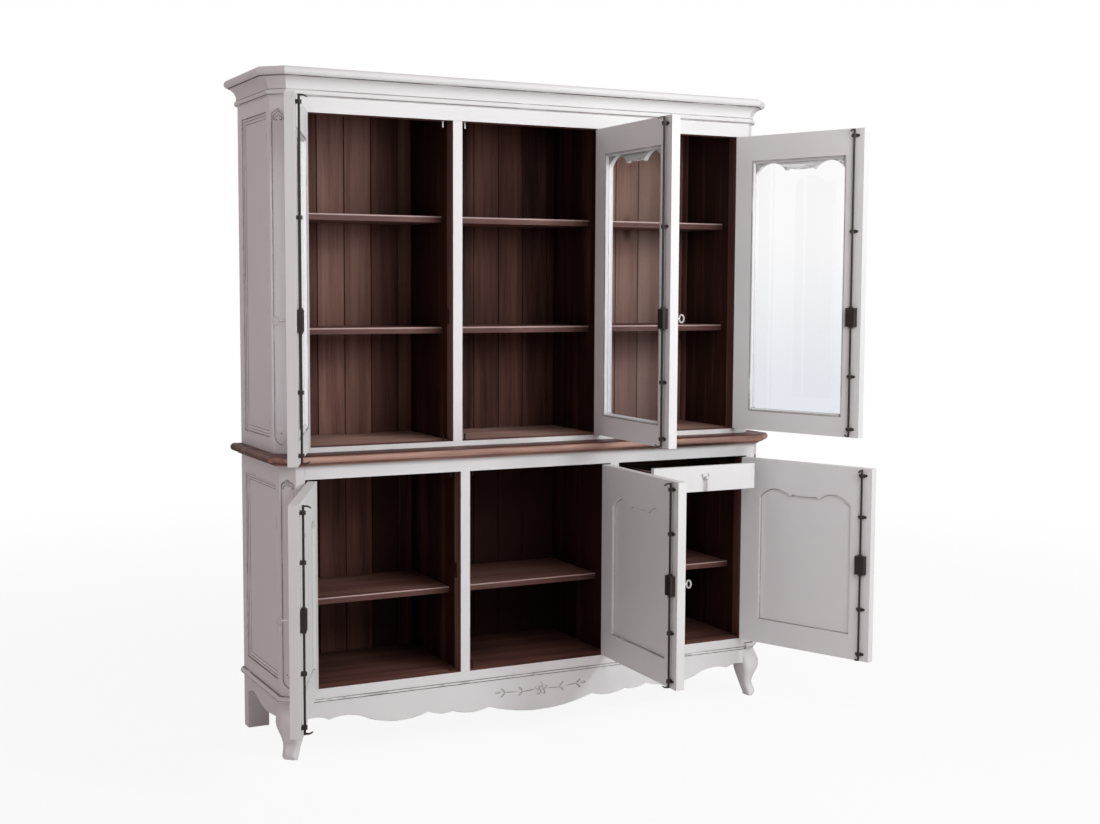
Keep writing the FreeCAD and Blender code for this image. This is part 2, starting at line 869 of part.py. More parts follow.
def hinge_pair(level):
    third = hinge_height / 3
    z0 = level - hinge_height / 2
    z1 = z0 + hinge_height
    play = 0.4
    clear = 0.6
    pin_x = -door_gap / 2
    frame_edge = -door_gap
    pin = Part.makeCylinder(pin_radius, hinge_height, V(pin_x, -knuckle_radius, z0))
    frame_leaf = box(frame_edge, frame_edge + leaf_thick, clear, leaf_depth, z0, z1)
    frame_parts = [pin]
    for low, high in ((z0, z0 + third), (z1 - third, z1)):
        frame_parts.append(hinge_knuckle(low, high))
        frame_parts.append(box(frame_edge, frame_edge + leaf_thick, -knuckle_radius, clear, low, high))
    frame_half = frame_leaf.multiFuse(frame_parts).removeSplitter()
    low = z0 + third + play
    high = z1 - third - play
    door_leaf = box(-leaf_thick, 0, clear, leaf_depth, z0, z1)
    arm = box(-leaf_thick, 0, -knuckle_radius, clear, low, high)
    bore = Part.makeCylinder(pin_radius + pin_clearance, hinge_height, V(pin_x, -knuckle_radius, z0))
    door_half = door_leaf.multiFuse([hinge_knuckle(low, high), arm]).removeSplitter().cut(bore)
    return frame_half, door_half


def keeper(level, up):
    y = door_thick + rod_stand - finger_thick / 2 - keeper_radius - keeper_gap
    x = door_width - rod_edge_distance + keeper_offset
    direction = V(0, 0, 1 if up else -1)
    pin = Part.makeCylinder(keeper_radius, keeper_length, V(x, y, level), direction)
    plate_radius = keeper_radius + keeper_plate_rim
    plate = Part.makeCylinder(plate_radius, plate_thick, V(x, y, level), direction)
    return pin.fuse(plate).removeSplitter()


def strike_plate(level):
    x = door_width + door_gap
    y = door_thick + 4
    half = strike_height / 2
    return box(x - plate_thick, x, y, y + strike_width, level - half, level + half)


glazed_guides = [24, 334]      # from the door's head
glazed_lower_guides = [28, 202]
glazed_lock_level = 397
panel_guides = [24, 161]
panel_lower_guides = [24, 174]
panel_lock_level = 322


def door_set(height, glazed):
    if glazed:
        lock_level = glazed_lock_level
        members, infill = glazed_door(height, lock_level)
        levels = [height - drop for drop in glazed_guides] + glazed_lower_guides
    else:
        lock_level = panel_lock_level
        members, infill = panelled_door(height, lock_level)
        levels = [height - drop for drop in panel_guides] + panel_lower_guides
    fittings = [guide(level) for level in levels]
    fittings.append(lock_case(lock_level))
    frame_hinges = []
    for level in (hinge_inset, height - hinge_inset):
        frame_half, door_half = hinge_pair(level)
        frame_hinges.append(frame_half)
        fittings.append(door_half)
    frame_keepers = [keeper(-door_gap, True), keeper(height + door_gap, False), strike_plate(lock_level)]
    moving = {
        "frame": members,
        "pane" if glazed else "panel": [infill],
        "fittings": fittings,
        "latch_rod": [latch_rod(height)],
        "key": [key(lock_level)],
    }
    return moving, frame_hinges, frame_keepers


bay_edges = {
    "left": (1, -jamb_x),
    "centre": (-1, opening_width / 2),
    "right": (-1, jamb_x),
}


def placed(shape, side, jamb, front, foot, angle):
    turned = shape.copy() if side > 0 else mirrored(shape)
    turned.translate(V(jamb + side * door_gap, front, foot + door_gap))
    pivot = V(jamb + side * door_gap / 2, front - knuckle_radius, 0)
    turned.rotate(pivot, V(0, 0, 1), -side * angle)
    return turned


def build_doors():
    hinges = []
    keepers = []
    tiers = [
        ("upper", hutch_front, hutch_floor_level, hutch_door_height),
        ("lower", base_front, base_floor_level, base_door_height),
    ]
    for tier, front, foot, height in tiers:
        moving, frame_hinges, frame_keepers = door_set(height, tier == "upper")
        for bay, (side, jamb) in bay_edges.items():
            name = tier + "_" + bay
            angle = rest_angles[name]
            for kind, shapes in moving.items():
                turned = [placed(shape, side, jamb, front, foot, angle) for shape in shapes]
                save(name + "_" + kind, turned)
            hinges += [placed(shape, side, jamb, front, foot, 0) for shape in frame_hinges]
            keepers += [placed(shape, side, jamb, front, foot, 0) for shape in frame_keepers]
    save("frame_hinge_leaves", hinges)
    save("door_keepers", keepers)


# Drawer behind the right lower door

drawer_x = mullion_x + mullion_width / 2 + opening_width / 2
drawer_top = base_head_level - drawer_headroom
drawer_foot = drawer_top - drawer_height
drawer_box_foot = drawer_foot + 6
drawer_side_inset = 4     # drawer's side in from the end of its front

pull_stand = 10           # pull's axle off the drawer front
pull_rose_radius = 8
pull_rose_thick = 2
pull_axle_radius = 1.6
pull_eye_width = 5
pull_eye_radius = 4.5
pull_eye_play = 0.6
pull_lug = 2.2
pull_lug_half = 3
pull_arm_radius = 1.8
pull_length = 40
pull_ball_radius = 4.6


def pull_mount(y0, level):
    rose_seat = V(drawer_x, y0 - pull_rose_thick, level)
    rose = Part.makeCylinder(pull_rose_radius, pull_rose_thick, rose_seat, V(0, 1, 0))
    axle_y = y0 - pull_stand
    half = pull_eye_width / 2 + pull_eye_play
    reach = half + pull_lug
    axle = Part.makeCylinder(pull_axle_radius, 2 * reach, V(drawer_x - reach, axle_y, level), V(1, 0, 0))
    pieces = [axle]
    low = level - pull_lug_half
    high = level + pull_lug_half
    arm_y = y0 - 3
    for side in (-1, 1):
        inner = drawer_x + side * half
        outer = drawer_x + side * reach
        pieces.append(box(min(inner, outer), max(inner, outer), axle_y - pull_lug_half, y0, low, high))
        start = V(drawer_x + side * 4, arm_y, level + 2)
        middle = V(drawer_x + side * 10, arm_y, level + 5)
        end = V(drawer_x + side * 12, arm_y, level + 15)
        spine = Part.Wire([arc(start, middle, end)])
        heading = spine.Edges[0].tangentAt(spine.Edges[0].FirstParameter)
        section = Part.Wire([Part.Circle(start, heading, pull_arm_radius).toShape()])
        pieces.append(spine.makePipeShell([section], True, True))
    return rose.multiFuse(pieces).removeSplitter()


def pull_drop(y0, level):
    axle_y = y0 - pull_stand
    half = pull_eye_width / 2
    eye_seat = V(drawer_x - half, axle_y, level)
    eye = Part.makeCylinder(pull_eye_radius, pull_eye_width, eye_seat, V(1, 0, 0))
    ball_level = level - pull_length + pull_ball_radius
    ball = Part.makeSphere(pull_ball_radius, V(drawer_x, axle_y, ball_level))
    neck = V(drawer_x, axle_y, level - 3)
    shank_length = neck.z - ball_level - 1
    shank = Part.makeCone(pull_arm_radius, pull_ball_radius - 0.3, shank_length, neck, V(0, 0, -1))
    bore_radius = pull_axle_radius + pin_clearance
    bore_start = V(drawer_x - half - 1, axle_y, level)
    bore = Part.makeCylinder(bore_radius, pull_eye_width + 2, bore_start, V(1, 0, 0))
    return eye.multiFuse([shank, ball]).removeSplitter().cut(bore)


def build_drawer():
    x0 = drawer_x - drawer_width / 2
    x1 = drawer_x + drawer_width / 2
    y0 = base_front + drawer_setback
    y1 = y0 + drawer_front_thick
    y2 = y0 + drawer_depth
    side_top = drawer_top - drawer_side_drop
    shift = V(0, -drawer_out, 0)
    front = box(x0, x1, y0, y1, drawer_foot, drawer_top)
    round_edges = [edge for edge in front.Edges if edge.CenterOfMass.y < y0 + 0.01]
    front = front.makeFillet(2, round_edges)
    wall = drawer_wall
    foot = drawer_box_foot
    outer0 = x0 + drawer_side_inset
    outer1 = x1 - drawer_side_inset
    inner0 = outer0 + wall
    inner1 = outer1 - wall
    left = box(outer0, inner0, y1, y2, foot, side_top)
    right = box(inner1, outer1, y1, y2, foot, side_top)
    floor = box(inner0, inner1, y1, y2, foot, foot + drawer_bottom_thick)
    rear = box(inner0, inner1, y2 - wall, y2, foot + drawer_bottom_thick, side_top)
    pull_z = drawer_foot + drawer_height * 0.52
    mount = pull_mount(y0, pull_z)
    drop = pull_drop(y0, pull_z)
    for name, shapes in (
        ("drawer_front", [front]),
        ("drawer_box", [left, right, floor, rear]),
        ("drawer_pull_mount", [mount]),
        ("drawer_pull_drop", [drop]),
    ):
        for shape in shapes:
            shape.translate(shift)
        save(name, shapes)


def drawer_runners():
    inner_wall = mullion_x + board_thick / 2
    half = drawer_width / 2 - drawer_side_inset
    x0 = drawer_x - half
    x1 = drawer_x + half
    y0 = base_front + drawer_setback + drawer_front_thick + drawer_clearance
    top = drawer_box_foot - drawer_clearance / 2
    low = top - runner_thick
    high = drawer_top - drawer_side_drop
    runners = []
    for wall, edge, side in ((inner_wall, x0, 1), (jamb_x, x1, -1)):
        points = [
            V(wall, y0, low),
            V(edge + side * runner_ledge, y0, low),
            V(edge + side * runner_ledge, y0, top),
            V(edge - side * drawer_clearance, y0, top),
            V(edge - side * drawer_clearance, y0, high),
            V(wall, y0, high),
        ]
        outline = Part.makePolygon(points + points[:1])
        runners.append(Part.Face(outline).extrude(V(0, inner_back - y0, 0)))
    return runners


base_post_pair = base_posts()
base_shelf_levels = shelf_levels(base_floor_level, base_head_level, base_shelf_shares)
hutch_shelf_levels = shelf_levels(hutch_floor_level, hutch_head_level, hutch_shelf_shares)

save("base_corner_posts", base_post_pair)
save("base_side_frames", base_sides(base_post_pair))
save("base_side_panels", both_sides([side_panel(base_front, base_panel_levels)]))
save("base_rails", [
    front_rail(base_front, base_plinth_level, base_floor_level),
    front_rail(base_front, base_head_level, worktop_bottom),
])
save("base_mullions", mullions(base_front, base_floor_level, base_head_level))
save("base_apron", [apron(base_post_pair)])
save("base_plinth_moulding", plinth_moulding())
save("base_floor", [floor_board(base_front, base_floor_level, board_thick)])
save("base_partitions", partitions(base_front, base_floor_level, worktop_bottom, base_shelf_levels))
save("base_shelves", shelves(base_front, base_shelf_levels, 0))
save("base_back_boards", back_boards(base_plinth_level, worktop_bottom))
save("drawer_runners", drawer_runners())
save("worktop", [worktop()])

save("hutch_corner_posts", hutch_posts())
save("hutch_side_frames", hutch_sides())
save("hutch_side_panels", both_sides([side_panel(hutch_front, hutch_panel_levels)]))
save("hutch_rails", [
    front_rail(hutch_front, worktop_level, hutch_floor_level),
    front_rail(hutch_front, hutch_head_level, cornice_level),
])
save("hutch_mullions", mullions(hutch_front, hutch_floor_level, hutch_head_level))
save("hutch_floor", [floor_board(hutch_front, hutch_floor_level, hutch_sill)])
save("hutch_top", [top_board()])
save("hutch_partitions", partitions(
    hutch_front, hutch_floor_level, cornice_level, hutch_shelf_levels,
))
save("hutch_shelves", shelves(hutch_front, hutch_shelf_levels, 0))
save("hutch_back_boards", back_boards(worktop_level, cornice_level))
save("cornice", [cornice()])

build_doors()
build_drawer()
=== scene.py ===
import json
import math

import bpy
from mathutils import Matrix, Vector


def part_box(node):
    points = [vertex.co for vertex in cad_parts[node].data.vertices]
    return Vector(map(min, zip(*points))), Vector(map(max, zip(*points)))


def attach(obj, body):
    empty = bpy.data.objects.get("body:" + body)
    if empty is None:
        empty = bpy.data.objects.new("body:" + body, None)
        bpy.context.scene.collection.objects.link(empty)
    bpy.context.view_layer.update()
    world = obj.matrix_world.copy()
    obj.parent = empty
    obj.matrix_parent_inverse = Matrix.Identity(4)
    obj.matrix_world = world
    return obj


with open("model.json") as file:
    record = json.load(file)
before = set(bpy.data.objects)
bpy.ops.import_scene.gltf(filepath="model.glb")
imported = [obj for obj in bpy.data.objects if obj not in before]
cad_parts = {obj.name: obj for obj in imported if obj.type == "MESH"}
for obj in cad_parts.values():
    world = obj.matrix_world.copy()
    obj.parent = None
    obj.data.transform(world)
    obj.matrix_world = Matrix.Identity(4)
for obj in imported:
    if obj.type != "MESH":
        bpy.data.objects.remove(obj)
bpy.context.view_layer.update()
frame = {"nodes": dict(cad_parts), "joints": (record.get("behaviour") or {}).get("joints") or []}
nodes = frame["nodes"]
joints = {joint["name"]: joint for joint in frame["joints"]}
bays = ("left", "centre", "right")
upperDoors = ["upper_" + bay for bay in bays]
lowerDoors = ["lower_" + bay for bay in bays]
print("frame loaded,", len(nodes), "nodes")


# camera where the photo was taken from

cameraView = {
    "place": (-2.2206, -4.6222, 1.4544),
    "yaw": 0.4728,
    "pitch": -0.0833,
    "roll": 0.0047,
    "lens": 49.673,
    "sensor": 36.0,
}


def addCamera(view):
    yaw, pitch, roll = view["yaw"], view["pitch"], view["roll"]
    ahead = Vector((math.sin(yaw) * math.cos(pitch), math.cos(yaw) * math.cos(pitch), math.sin(pitch)))
    level = Vector((math.cos(yaw), -math.sin(yaw), 0))
    upright = level.cross(ahead)
    right = level * math.cos(roll) + upright * math.sin(roll)
    up = upright * math.cos(roll) - level * math.sin(roll)
    lens = bpy.data.cameras.new("photoLens")
    lens.sensor_fit = "HORIZONTAL"
    lens.sensor_width = view["sensor"]
    lens.lens = view["lens"]
    camera = bpy.data.objects.new("photoCamera", lens)
    bpy.context.scene.collection.objects.link(camera)
    turn = Matrix((right, up, -ahead)).transposed().to_4x4()
    camera.matrix_world = Matrix.Translation(view["place"]) @ turn
    bpy.context.scene.camera = camera


addCamera(cameraView)
print("camera set")


# shader maths as plain expressions

class Wire:
    def __init__(self, graph, socket):
        self.graph = graph
        self.socket = socket

    def __add__(self, other):
        return self.graph.maths("ADD", self, other)

    __radd__ = __add__

    def __sub__(self, other):
        return self.graph.maths("SUBTRACT", self, other)

    def __rsub__(self, other):
        return self.graph.maths("SUBTRACT", other, self)

    def __mul__(self, other):
        return self.graph.maths("MULTIPLY", self, other)

    __rmul__ = __mul__

    def __truediv__(self, other):
        return self.graph.maths("DIVIDE", self, other)

    def __rtruediv__(self, other):
        return self.graph.maths("DIVIDE", other, self)

    def __gt__(self, other):
        return self.graph.maths("GREATER_THAN", self, other)

    def __lt__(self, other):
        return self.graph.maths("LESS_THAN", self, other)


class Graph:
    def __init__(self, tree):
        self.tree = tree

    def node(self, kind, settings=None, sockets=None, out=0):
        made = self.tree.nodes.new(kind)
        for name, value in (settings or {}).items():
            if name == "stops":
                self.setStops(made.color_ramp, value)
            else:
                setattr(made, name, value)
        for name, value in (sockets or {}).items():
            self.plug(made.inputs[name], value)
        return Wire(self, made.outputs[out]) if made.outputs else None

    def setStops(self, ramp, stops):
        while len(ramp.elements) < len(stops):
            ramp.elements.new(0.5)
        for element, (place, colour) in zip(ramp.elements, stops):
            element.position = place
            element.color = (*colour, 1)

    def plug(self, socket, value):
        if isinstance(value, Wire):
            self.tree.links.new(value.socket, socket)
        elif socket.type == "RGBA" and len(value) == 3:
            socket.default_value = (*value, 1)
        else:
            socket.default_value = value

    def maths(self, operation, first, second=0.0):
        return self.node("ShaderNodeMath", {"operation": operation}, {0: first, 1: second})

    def coords(self, output="Object"):
        return self.node("ShaderNodeTexCoord", out=output)

    def mapped(self, kind="POINT", **sockets):
        return self.node("ShaderNodeMapping", {"vector_type": kind}, {"Vector": self.coords(), **sockets})

    def axes(self, vector):
        split = self.node("ShaderNodeSeparateXYZ", {}, {0: vector}).socket.node
        return [Wire(self, output) for output in split.outputs]

    def noise(self, scale, stretch=(1, 1, 1), shift=(0, 0, 0), detail=4.0, rough=0.55, twist=0.0):
        return self.node("ShaderNodeTexNoise", {}, {
            "Vector": self.mapped(Location=shift, Scale=stretch),
            "Scale": scale,
            "Detail": detail,
            "Roughness": rough,
            "Distortion": twist,
        })

    def band(self, value, low, high):
        return self.node("ShaderNodeMapRange", {"interpolation_type": "SMOOTHSTEP"}, {
            "Value": value, "From Min": low, "From Max": high,
        })

    def blend(self, amount, first, second):
        return self.node("ShaderNodeMix", {"data_type": "RGBA"}, {0: amount, 6: first, 7: second}, out=2)

    def margin(self, value, low, high):
        return self.maths("MINIMUM", value - low, high - value)

    def stripes(self, value, levels, half, core=0.4):
        drawn = [self.band(self.maths("ABSOLUTE", value - level), half, half * core) for level in levels]
        return sum(drawn[1:], drawn[0])

    def hollows(self, reach, inside=False, alone=True, samples=6):
        return 1 - self.node("ShaderNodeAmbientOcclusion", {
            "samples": samples, "only_local": alone, "inside": inside,
        }, {"Distance": reach}, out="AO")


class Finish(Graph):
    def __init__(self, name, fixed):
        self.material = bpy.data.materials.new(name)
        self.material.use_nodes = True
        super().__init__(self.material.node_tree)
        self.shader = self.tree.nodes["Principled BSDF"]
        self.drive(fixed)

    def drive(self, sockets):
        for name, value in sockets.items():
            self.plug(self.shader.inputs[name], value)

    def bump(self, height, strength, distance):
        normal = self.node("ShaderNodeBump", {}, {
            "Height": height, "Strength": strength, "Distance": distance,
        })
        self.drive({"Normal": normal})

    def mixIn(self, share, shader):
        own = Wire(self, self.shader.outputs[0])
        mixed = self.node("ShaderNodeMixShader", {}, {0: share, 1: own, 2: shader})
        self.plug(self.tree.nodes["Material Output"].inputs["Surface"], mixed)


# white paint, rubbed back to a brown ground in the grooves and along some edges; where a finish lets its
# hollows see other pieces, the darkening where parts meet is painted shade

paintLook = {
    "white": (0.812, 0.798, 0.796),
    "cool": (0.772, 0.752, 0.755),
    "drift": {"scale": 2.1, "shift": (3, 1, 7), "detail": 3},  # from white to cool
    "driftBand": (0.35, 0.72),
    "ground": (0.105, 0.078, 0.072),
    "reach": 0.006,  # how far a groove or an edge counts
    "grooveBand": (0.1, 0.36),
    "edgeBand": (0.22, 0.5),
    "patches": {"scale": 9, "shift": (5, 2, 0), "detail": 5},  # where grooves and lines are strong
    "patchBand": (0.3, 0.52),
    "patchShare": (0.3, 0.7),  # least and added
    "specks": {"scale": 21, "shift": (1, 8, 2), "detail": 6},  # where edges are worn
    "speckBand": (0.5, 0.64),
    "lineHalf": 0.0016,
    "lineShare": 0.85,
    "brushScale": 26.0,
    "brushDetail": 6,
    "brushRun": {"x": (0.06, 1, 1), "z": (1, 1, 0.06)},
    "brushBump": (0.18, 0.0012),  # strength and height
    "roughness": 0.56,
    "roughSwing": 0.16,
    "ior": 1.46,
}


def paintColour(graph, look, rub, wear, lines=None, alone=True):
    drift = graph.noise(**look["drift"])
    white = graph.blend(graph.band(drift, *look["driftBand"]), look["white"], look["cool"])
    least, added = look["patchShare"]
    patch = graph.band(graph.noise(**look["patches"]), *look["patchBand"]) * added + least
    # with alone False the hollows also see the pieces beside this one, and the darkening where they meet is
    # painted shade
    groove = graph.band(graph.hollows(look["reach"], alone=alone), *look["grooveBand"]) * patch * rub
    colour = graph.blend(groove, white, look["ground"])
    if wear:
        speck = graph.band(graph.noise(**look["specks"]), *look["speckBand"])
        edge = graph.band(graph.hollows(look["reach"], inside=True), *look["edgeBand"]) * speck * wear
        colour = graph.blend(edge, colour, look["ground"])
    if lines:
        colour = graph.blend(lines(graph) * patch * look["lineShare"], colour, look["ground"])
    return colour


def paintFinish(name, along="z", rub=0.85, wear=0.35, lines=None, alone=True):
    look = paintLook
    finish = Finish(name, {"IOR": look["ior"]})
    brush = finish.noise(look["brushScale"], stretch=look["brushRun"][along], detail=look["brushDetail"])
    finish.drive({
        "Base Color": paintColour(finish, look, rub, wear, lines, alone),
        "Roughness": look["roughness"] - look["roughSwing"] / 2 + brush * look["roughSwing"],
    })
    finish.bump(brush, *look["brushBump"])
    return finish.material


# antique lines on the paint: heights along the mouldings, insets from the edge of a side panel

antique = {
    "cornice": (2.0735, 2.0362, 2.0205),
    "sideBead": (0.1745, 0.1955),
    "frontBead": (0.1732, 0.1818),
    "panelTongue": 0.006,
    "panelInsets": (0.001, 0.009, 0.018),
}


def levelLines(levels):
    def lines(graph):
        height = graph.axes(graph.coords())[2]
        return graph.stripes(height, levels, paintLook["lineHalf"])
    return lines


def borderLines(low, high, insets):
    def lines(graph):
        y, z = graph.axes(graph.coords())[1:]
        across = graph.margin(y, low[1], high[1])
        upward = graph.margin(z, low[2], high[2])
        return graph.stripes(graph.maths("MINIMUM", across, upward), insets, paintLook["lineHalf"])
    return lines


def panelFinish(name):
    low, high = [Vector(corner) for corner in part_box(name)]
    tongue = Vector((0, 1, 1)) * antique["panelTongue"]
    lines = borderLines(low + tongue, high - tongue, antique["panelInsets"])
    return paintFinish(name + "Paint", lines=lines)


# lines round a pane's beads, in the door's own directions, on its inner face

doorBead = {
    "hingeSide": 0.0695,
    "freeSide": 0.4415,
    "foot": 0.067,
    "head": 0.925,
    "innerFace": 0.0315,
    "insets": (0.0, 0.0035),
}


def doorLines(door):
    hinge = joints[door + "_door_hinge"]
    turn = math.radians(-hinge["range_deg"][0]) * hinge["axis"][2]

    def lines(graph):
        x, y, z = graph.axes(graph.mapped("TEXTURE", Location=hinge["pos_m"], Rotation=(0, 0, turn)))
        across = graph.margin(graph.maths("ABSOLUTE", x), doorBead["hingeSide"], doorBead["freeSide"])
        upward = graph.margin(z, doorBead["foot"], doorBead["head"])
        inset = graph.maths("MINIMUM", across, upward)
        return graph.stripes(inset, doorBead["insets"], paintLook["lineHalf"]) * (y > doorBead["innerFace"])
    return lines


# brown stain, grain along the board

grainLook = {
    "run": {"x": (0.045, 1, 1), "z": (1, 1, 0.045)},
    "broad": {"scale": 11, "shift": (0.3, 4.1, 0.7), "detail": 4, "twist": 0.7},
    "pores": {"scale": 120, "shift": (2, 0, 5), "detail": 5, "rough": 0.7},
    "shares": (0.72, 0.28),
}
stainLook = {
    "shades": [
        (0.0, (0.034, 0.0125, 0.0095)),
        (0.3, (0.195, 0.084, 0.066)),
        (0.625, (0.420, 0.235, 0.190)),
        (1.0, (0.660, 0.450, 0.370)),
    ],
    "contrast": 1.9,
    "span": 1.6,
    "dark": (0.034, 0.0125, 0.0095),  # knots and seams
    # painted shade: the very dark brown that the stain turns to deep in corners and between parts
    "paintedShadeBlack": (0.006, 0.0025, 0.002),  # deep corners
    "paintedShadeReach": 0.3,
    "paintedShadeBand": (0.36, 0.9),
    "paintedShadeShare": 0.86,
    "roughness": 0.62,
    "roughFall": 0.22,
    "bump": (0.35, 0.0008),
}
boardRun = {
    "start": -0.803,
    "pitch": 1.606 / 17,  # seventeen boards
    "spread": 0.42,
    "shadeAndLightSteps": [(-0.28, -0.42), (0.47, 0.9)],  # painted shade on the boards of the middle bay, painted light on the boards to the right
    "seam": 0.035,
    "seamShare": 0.8,
    "knotSpread": (4.3, 0.0, 1.7),
    "knotReach": (0.145, 0.055),
    "knotShare": 0.75,
    "ragged": {"scale": 34, "detail": 4},
    "raggedShare": 0.05,
}

# how the front edges are coloured: colour, least and added share, patches, and the levels of pale stripes;
# the worktop's paler front is rubbed wear, the shelves' darker front is painted shade with a painted
# highlight along its top
edgeLook = {
    "facing": (0.4, 0.7),
    "patchBand": (0.3, 0.7),
    # painted highlight: the pale colour along the top edge of each shelf front
    "rim": (0.640, 0.470, 0.440),
    "rimHalf": 0.0055,
    "rimShare": 0.85,
    "worktop": {
        "colour": (0.500, 0.292, 0.228),
        "share": (0.38, 0.62),
        "patches": {"scale": 55, "stretch": (0.06, 1, 1), "detail": 5},
        "rims": (),
    },
    "shelf": {
        "colour": (0.092, 0.042, 0.036),
        "share": (0.385, 0.55),
        "patches": {"scale": 14, "stretch": (0.3, 1, 1), "detail": 5},
        "rims": (0.472, 1.317, 1.675),
    },
}


def grainOf(graph, along):
    stretch = grainLook["run"][along]
    broadShare, poreShare = grainLook["shares"]
    broad = graph.noise(stretch=stretch, **grainLook["broad"])
    pores = graph.noise(stretch=stretch, **grainLook["pores"])
    return broad * broadShare + pores * poreShare


def stainColour(graph, look, grain, tone):
    spread = ((grain - 0.5) * look["contrast"] + 0.5 + tone) / look["span"]
    return graph.node("ShaderNodeValToRGB", {"stops": look["shades"]}, {0: spread})


def knotsOf(graph, boards):
    place = graph.mapped(Scale=boards["knotSpread"])
    spots = graph.node("ShaderNodeTexVoronoi", {}, {"Vector": place, "Scale": 1.0}, out="Distance")
    return graph.band(spots + graph.noise(**boards["ragged"]) * boards["raggedShare"], *boards["knotReach"])


# stain on a run of boards, each with its own tone, with knots and dark seams
def boardColour(graph, boards, grain, tone):
    across = graph.axes(graph.coords())[0]
    count = (across - boards["start"]) / boards["pitch"]
    index = graph.maths("FLOOR", count)
    pick = graph.node("ShaderNodeTexWhiteNoise", {"noise_dimensions": "1D"}, {"W": index})
    tone = (pick - 0.5) * boards["spread"] + tone
    # painted light and shade by bay: the middle bay's boards darker, the boards to the right paler
    for place, change in boards["shadeAndLightSteps"]:
        tone = tone + (across > place) * change
    colour = stainColour(graph, stainLook, grain, tone)
    part = count - index
    seam = graph.band(part * (1 - part), boards["seam"], 0.0)
    colour = graph.blend(knotsOf(graph, boards) * boards["knotShare"], colour, stainLook["dark"])
    return graph.blend(seam * boards["seamShare"], colour, stainLook["dark"])


# front faces turn towards an edge colour in patches: worn on the worktop, painted shade on the shelves; the
# pale stripes along the shelves' top edges are a painted highlight
def edgeWearAndPaintedLight(graph, edge, colour):
    facing = graph.axes(graph.coords("Normal"))[1]
    front = graph.band(0 - facing, *edgeLook["facing"])
    least, added = edge["share"]
    rubbed = graph.band(graph.noise(**edge["patches"]), *edgeLook["patchBand"])
    colour = graph.blend(front * (rubbed * added + least), colour, edge["colour"])
    # painted highlight along the top edge of each shelf front
    if edge["rims"]:
        height = graph.axes(graph.coords())[2]
        rim = graph.stripes(height, edge["rims"], edgeLook["rimHalf"])
        colour = graph.blend(rim * front * edgeLook["rimShare"], colour, edgeLook["rim"])
    return colour


def stainFinish(name, along="x", edge=None, boards=None, shine=0.08, tone=0.0):
    look = stainLook
    finish = Finish(name, {"Specular IOR Level": shine})
    grain = grainOf(finish, along)
    if boards:
        colour = boardColour(finish, boards, grain, tone)
    else:
        colour = stainColour(finish, look, grain, tone)
    if edge:
        colour = edgeWearAndPaintedLight(finish, edge, colour)
    # painted shade: the stain darkens towards a very dark brown where it lies deep in corners and between
    # parts
    corner = finish.band(finish.hollows(look["paintedShadeReach"], alone=False), *look["paintedShadeBand"])
    finish.drive({
        "Base Color": finish.blend(corner * look["paintedShadeShare"], colour, look["paintedShadeBlack"]),
        "Roughness": look["roughness"] - grain * look["roughFall"],
    })
    finish.bump(grain, *look["bump"])
    return finish.material


# front frame and posts: painted in front, outside and on the legs, stained inside

frameLook = {
    "facing": (0.3, 0.6),
    "outerFrom": 0.75,
    "legTop": 0.19,
    "tone": -0.06,
    "rub": 0.8,
    "wear": 0.3,
    "roughness": 0.6,
    "paintFall": 0.1,
    "grainFall": 0.08,
    "bump": (0.12, 0.0006),
}


def frameFinish(name, along, lines=None):
    look = frameLook
    finish = Finish(name, {"IOR": paintLook["ior"]})
    grain = grainOf(finish, along)
    x, y, z = finish.axes(finish.coords())
    normalX, normalY = finish.axes(finish.coords("Normal"))[:2]
    side = finish.maths("SIGN", x)
    outward = finish.band(normalX * side, *look["facing"]) * (x * side > look["outerFrom"])
    front = finish.band(0 - normalY, *look["facing"])
    painted = finish.maths("MAXIMUM", finish.maths("MAXIMUM", front, outward), z < look["legTop"])
    stain = stainColour(finish, stainLook, grain, look["tone"])
    paint = paintColour(finish, paintLook, look["rub"], look["wear"], lines)
    finish.drive({
        "Base Color": finish.blend(painted, stain, paint),
        "Roughness": look["roughness"] - painted * look["paintFall"] - grain * look["grainFall"],
    })
    finish.bump(grain, *look["bump"])
    return finish.material


# clear panes; the blue towards the foot is a painted reflection

glassLook = {
    "upper": (0.995, 0.990, 0.993),
    "lower": (0.805, 0.842, 0.895),
    "levels": (1.05, 1.70),
    "shadow": (0.985, 0.98, 0.98),
    "roughness": 0.015,
    "ior": 1.45,
    "shine": 0.2,
}


def glassFinish(name, look):
    finish = Finish(name, {
        "Roughness": look["roughness"],
        "IOR": look["ior"],
        "Specular IOR Level": look["shine"],
        "Transmission Weight": 1.0,
    })
    height = finish.axes(finish.coords())[2]
    # painted reflection: the base colour goes from white at the head to pale blue at the foot
    finish.drive({
        "Base Color": finish.blend(finish.band(height, *look["levels"]), look["lower"], look["upper"]),
    })
    clear = finish.node("ShaderNodeBsdfTransparent", {}, {"Color": look["shadow"]})
    finish.mixIn(finish.node("ShaderNodeLightPath", out="Is Shadow Ray"), clear)
    return finish.material


# bronzed iron fittings, bright steel keys and pull, keepers dark at the foot and bright at the head

